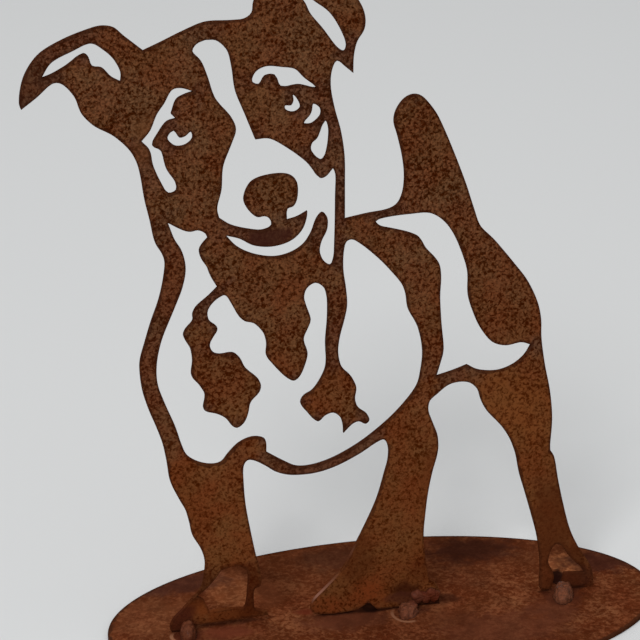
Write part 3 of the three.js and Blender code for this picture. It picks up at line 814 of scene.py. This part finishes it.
weldFinish = {
    "dark": srgb(76, 39, 24), "light": srgb(128, 77, 52), "stain": srgb(116, 63, 39),
    "speckSize": 0.9, "level": 0.46, "softness": 0.15, "patchiness": 0.3, "grain": 0.2, "drift": 0.5,
    "toeColour": srgb(50, 23, 14), "toeShare": 0.85,
    "bumpDepth": 0.25, "bumpStrength": 0.6, "roughness": (0.35, 0.6), "specular": 0.08,
    # the run along the heel has rusted red, and the beads have stayed duller
    "spots": [
        {"centre": (18.0, -2.0, 6.5), "squeeze": (0.6, 1.0, 1.0), "inner": 3.5, "outer": 7.0,
         "colour": srgb(88, 34, 17), "share": 0.8},
        {"centre": (-90.0, -5.0, 5.0), "squeeze": (1.0, 1.0, 1.0), "inner": 7.0, "outer": 10.0,
         "colour": srgb(92, 47, 29), "share": 0.6},
        {"centre": (9.5, -5.0, 4.0), "squeeze": (1.0, 1.0, 1.0), "inner": 7.0, "outer": 10.0,
         "colour": srgb(106, 62, 47), "share": 0.35},
        {"centre": (81.5, -6.0, 4.0), "squeeze": (1.0, 1.0, 1.0), "inner": 10.0, "outer": 14.0,
         "colour": srgb(108, 70, 52), "share": 0.35},
    ],
}


def weldMaterial(look):
    # rust with a dark toe where the bead meets the plates
    material, tree, shader, where = startMaterial("weldBead")
    mottle = addRust(tree, where, look)
    colour = addSpots(tree, where, mottle["Color"], look["spots"])
    toe = addMath(tree, "MULTIPLY", addAttribute(tree, "weldToe"), look["toeShare"])
    colour = addMix(tree, toe, colour, look["toeColour"])
    finishShader(tree, shader, colour, mottle["Height"], look)
    return material


# a bead is one or more rounded shells, and a shell is lobes run together: centre [x, distance in front of
# the sheet, height above the base] and half sizes, in millimetres, and the degrees that the front end
# swings to the left
weldShapes = {
    "weld_left_paw": {"name": "weldLeftPaw", "seed": 1, "shells": [
        [((-90.2, 3.6, 1.8), (3.4, 6.4, 4.6), 9)]]},
    "weld_middle_paw": {"name": "weldMiddlePaw", "seed": 2, "shells": [
        [((8.3, 4.4, 0.6), (3.0, 6.4, 3.6), 15), ((11.2, 3.7, 0.5), (2.8, 6.4, 3.8), 15)],
        [((14.2, 0.4, 6.3), (2.3, 2.2, 2.5), 0), ((14.8, 0.3, 4.0), (2.2, 1.8, 2.3), 0),
         ((17.3, 0.0, 5.4), (1.7, 1.5, 1.8), 0), ((18.6, 0.2, 3.6), (2.2, 1.6, 2.2), 0),
         ((21.0, 0.1, 5.8), (2.4, 1.7, 2.4), 0), ((22.4, 0.1, 3.6), (2.1, 1.5, 2.2), 0),
         ((23.5, 0.0, 5.2), (1.6, 1.2, 1.9), 0)]]},
    "weld_hind_paw": {"name": "weldHindPaw", "seed": 3, "shells": [
        [((81.8, 5.0, 0.9), (4.3, 8.6, 4.6), 19)]]},
}
weldGrid = {
    "round": 112, "tall": 72,
    "blend": 3.0,                           # larger runs the lobes together less
    "lumps": 22, "lumpHeight": 0.08,        # share of the radius
    "lumpWaves": (2.0, 7.0),                # least and most of a wave's strength
    "toe": 0.5, "toeSpread": 1.2,           # how far the toe is spread out, and up to which height
    "toeHeight": 0.9,                       # height up to which the toe is dark
    "sunk": 0.15,                           # how far a bead reaches into the plates
}


def lobeReach(lobes, heart, rays, blend):
    # smooth maximum of the distances at which each ray from the heart leaves the lobes; a lobe's own axes
    # are the frame's, swung about Z
    places, halves, swings = (np.array(column) for column in zip(*lobes))
    cosine, sine = np.cos(np.radians(swings)), np.sin(np.radians(swings))
    none, one = np.zeros(len(swings)), np.ones(len(swings))
    axes = np.stack([np.stack([cosine, -sine, none], 1), np.stack([sine, cosine, none], 1),
                     np.stack([none, none, one], 1)], 1)
    start = np.einsum("nij,nj->ni", axes, heart - places) / halves
    way = np.einsum("nij,rj->rni", axes, rays) / halves[None]
    square = (way ** 2).sum(2)
    dot = (way * start[None]).sum(2)
    room = dot ** 2 - square * ((start ** 2).sum(1)[None] - 1)
    leave = np.where(room > 0, (-dot + np.sqrt(np.maximum(room, 0))) / square, 0)
    reach = np.log(np.exp(leave * blend).sum(1)) / blend
    return reach - math.log(len(lobes)) / blend * (leave.min(1) / leave.max(1))


def weldShell(lobes, grid, draw):
    # rays from the shell's heart end on its lobes, made lumpy by a sum of waves; what passes the sheet or
    # the base is pressed flat on it, and the foot is spread out into a thin toe
    lobes = [((x, sheetFront - front, baseTop + z), half, swing) for (x, front, z), half, swing in lobes]
    heart = np.mean([place for place, _, _ in lobes], axis=0)
    around = np.linspace(0, 2 * math.pi, grid["round"], endpoint=False)[None]
    down = np.linspace(0, math.pi, grid["tall"] + 2)[1:-1, None]
    rays = np.stack([np.sin(down) * np.cos(around), np.sin(down) * np.sin(around),
                     np.cos(down) * np.ones_like(around)], 2).reshape(-1, 3)
    rays = np.concatenate([rays, [[0, 0, 1], [0, 0, -1]]])
    waves = draw.normal(size=(grid["lumps"], 3)) * draw.uniform(*grid["lumpWaves"], (grid["lumps"], 1))
    phases = draw.uniform(0, 2 * math.pi, grid["lumps"])
    lumps = np.cos(rays @ waves.T + phases).mean(1) * math.sqrt(grid["lumps"])
    reach = lobeReach(lobes, heart, rays, grid["blend"]) * (1 + grid["lumpHeight"] * lumps)
    points = heart + rays * reach[:, None]
    height = np.maximum(points[:, 2] - baseTop, 0)
    spread = grid["toe"] * np.clip(1 - height / grid["toeSpread"], 0, 1) ** 2
    flatWay = points[:, :2] - heart[:2]
    flatLength = np.maximum(np.linalg.norm(flatWay, axis=1), tiny)
    points[:, :2] += spread[:, None] * flatWay / flatLength[:, None]
    points[:, 1] = np.minimum(points[:, 1], sheetFront + grid["sunk"])
    points[:, 2] = np.maximum(points[:, 2], baseTop - grid["sunk"])
    quads, fans = closedRows(grid["tall"], grid["round"])
    return points, quads, fans


def weldBead(nodeName, shape, grid, material):
    # the shells of one bead, joined in one mesh
    draw = np.random.default_rng(shape["seed"])
    shells = [weldShell(lobes, grid, draw) for lobes in shape["shells"]]
    points = np.concatenate([shell[0] for shell in shells])
    faces = []
    for number, (shellPoints, quads, fans) in enumerate(shells):
        first = number * len(shellPoints)
        faces += [*(quads + first).tolist(), *(fans + first).tolist()]
    # the toe is dark: full where the bead meets the sheet or the base, gone a little above them
    above = np.minimum(points[:, 2] - baseTop, sheetFront - points[:, 1])
    weldToe = np.clip(1 - above / grid["toeHeight"], 0, 1)
    piece = makePiece(shape["name"], points, faces, {"weldToe": weldToe})
    fitPiece(piece, material, nodeName)
    return piece


weldMetal = weldMaterial(weldFinish)
welds = [weldBead(nodeName, shape, weldGrid, weldMetal) for nodeName, shape in weldShapes.items()]
print("weld beads:", len(welds))

stageLook = {
    "floorSize": 8.0, "floorColour": srgb(220, 221, 221), "floorRoughness": 0.9, "floorSpecular": 0.1,
    "worldColour": srgb(240, 241, 242), "worldStrength": 0.5,
    "keyPlace": (-1.6, -2.4, 2.9), "keySize": 1.5, "keyPower": 72.0,
    "topPlace": (0.3, 0.6, 3.2), "topSize": 2.6, "topPower": 24.0,
    "target": (0.0, 0.0, 0.12),
}


def areaLight(name, place, size, power, target):
    # a round lamp that faces the target
    light = bpy.data.lights.new(name, "AREA")
    light.shape = "DISK"
    light.size = size
    light.energy = power
    lamp = bpy.data.objects.new(name, light)
    lamp.location = place
    lamp.rotation_euler = (Vector(target) - Vector(place)).to_track_quat("-Z", "Y").to_euler()
    bpy.context.scene.collection.objects.link(lamp)


def makeStage(look):
    # pale floor, even light from all round, a key light at the front left and a softer one above
    half = look["floorSize"] / 2
    corners = [(-half, -half, 0), (half, -half, 0), (half, half, 0), (-half, half, 0)]
    mesh = bpy.data.meshes.new("floor")
    mesh.from_pydata(corners, [], [(0, 1, 2, 3)])
    floor = bpy.data.objects.new("floor", mesh)
    bpy.context.scene.collection.objects.link(floor)
    material = bpy.data.materials.new("paleFloor")
    material.use_nodes = True
    shader = material.node_tree.nodes["Principled BSDF"]
    shader.inputs["Base Color"].default_value = look["floorColour"]
    shader.inputs["Roughness"].default_value = look["floorRoughness"]
    shader.inputs["Specular IOR Level"].default_value = look["floorSpecular"]
    mesh.materials.append(material)
    world = bpy.data.worlds.new("studio")
    world.use_nodes = True
    background = world.node_tree.nodes["Background"]
    background.inputs["Color"].default_value = look["worldColour"]
    background.inputs["Strength"].default_value = look["worldStrength"]
    bpy.context.scene.world = world
    areaLight("keyLight", look["keyPlace"], look["keySize"], look["keyPower"], look["target"])
    areaLight("topLight", look["topPlace"], look["topSize"], look["topPower"], look["target"])


makeStage(stageLook)

cameraLook = {
    "place": (-0.2271, -0.9146, 0.5447), "down": 23.1, "right": 12.17,
    "lens": 135.0, "sensor": 36.0,
}


def makeCamera(look):
    # looks along +Y, tipped down and turned to the right, in degrees
    data = bpy.data.cameras.new("camera")
    data.lens = look["lens"]
    data.sensor_width = look["sensor"]
    camera = bpy.data.objects.new("camera", data)
    camera.location = look["place"]
    camera.rotation_euler = (math.radians(90 - look["down"]), 0, -math.radians(look["right"]))
    bpy.context.scene.collection.objects.link(camera)
    bpy.context.scene.camera = camera


makeCamera(cameraLook)
bpy.context.scene.view_settings.view_transform = "Standard"
print("stage, lights and camera set")
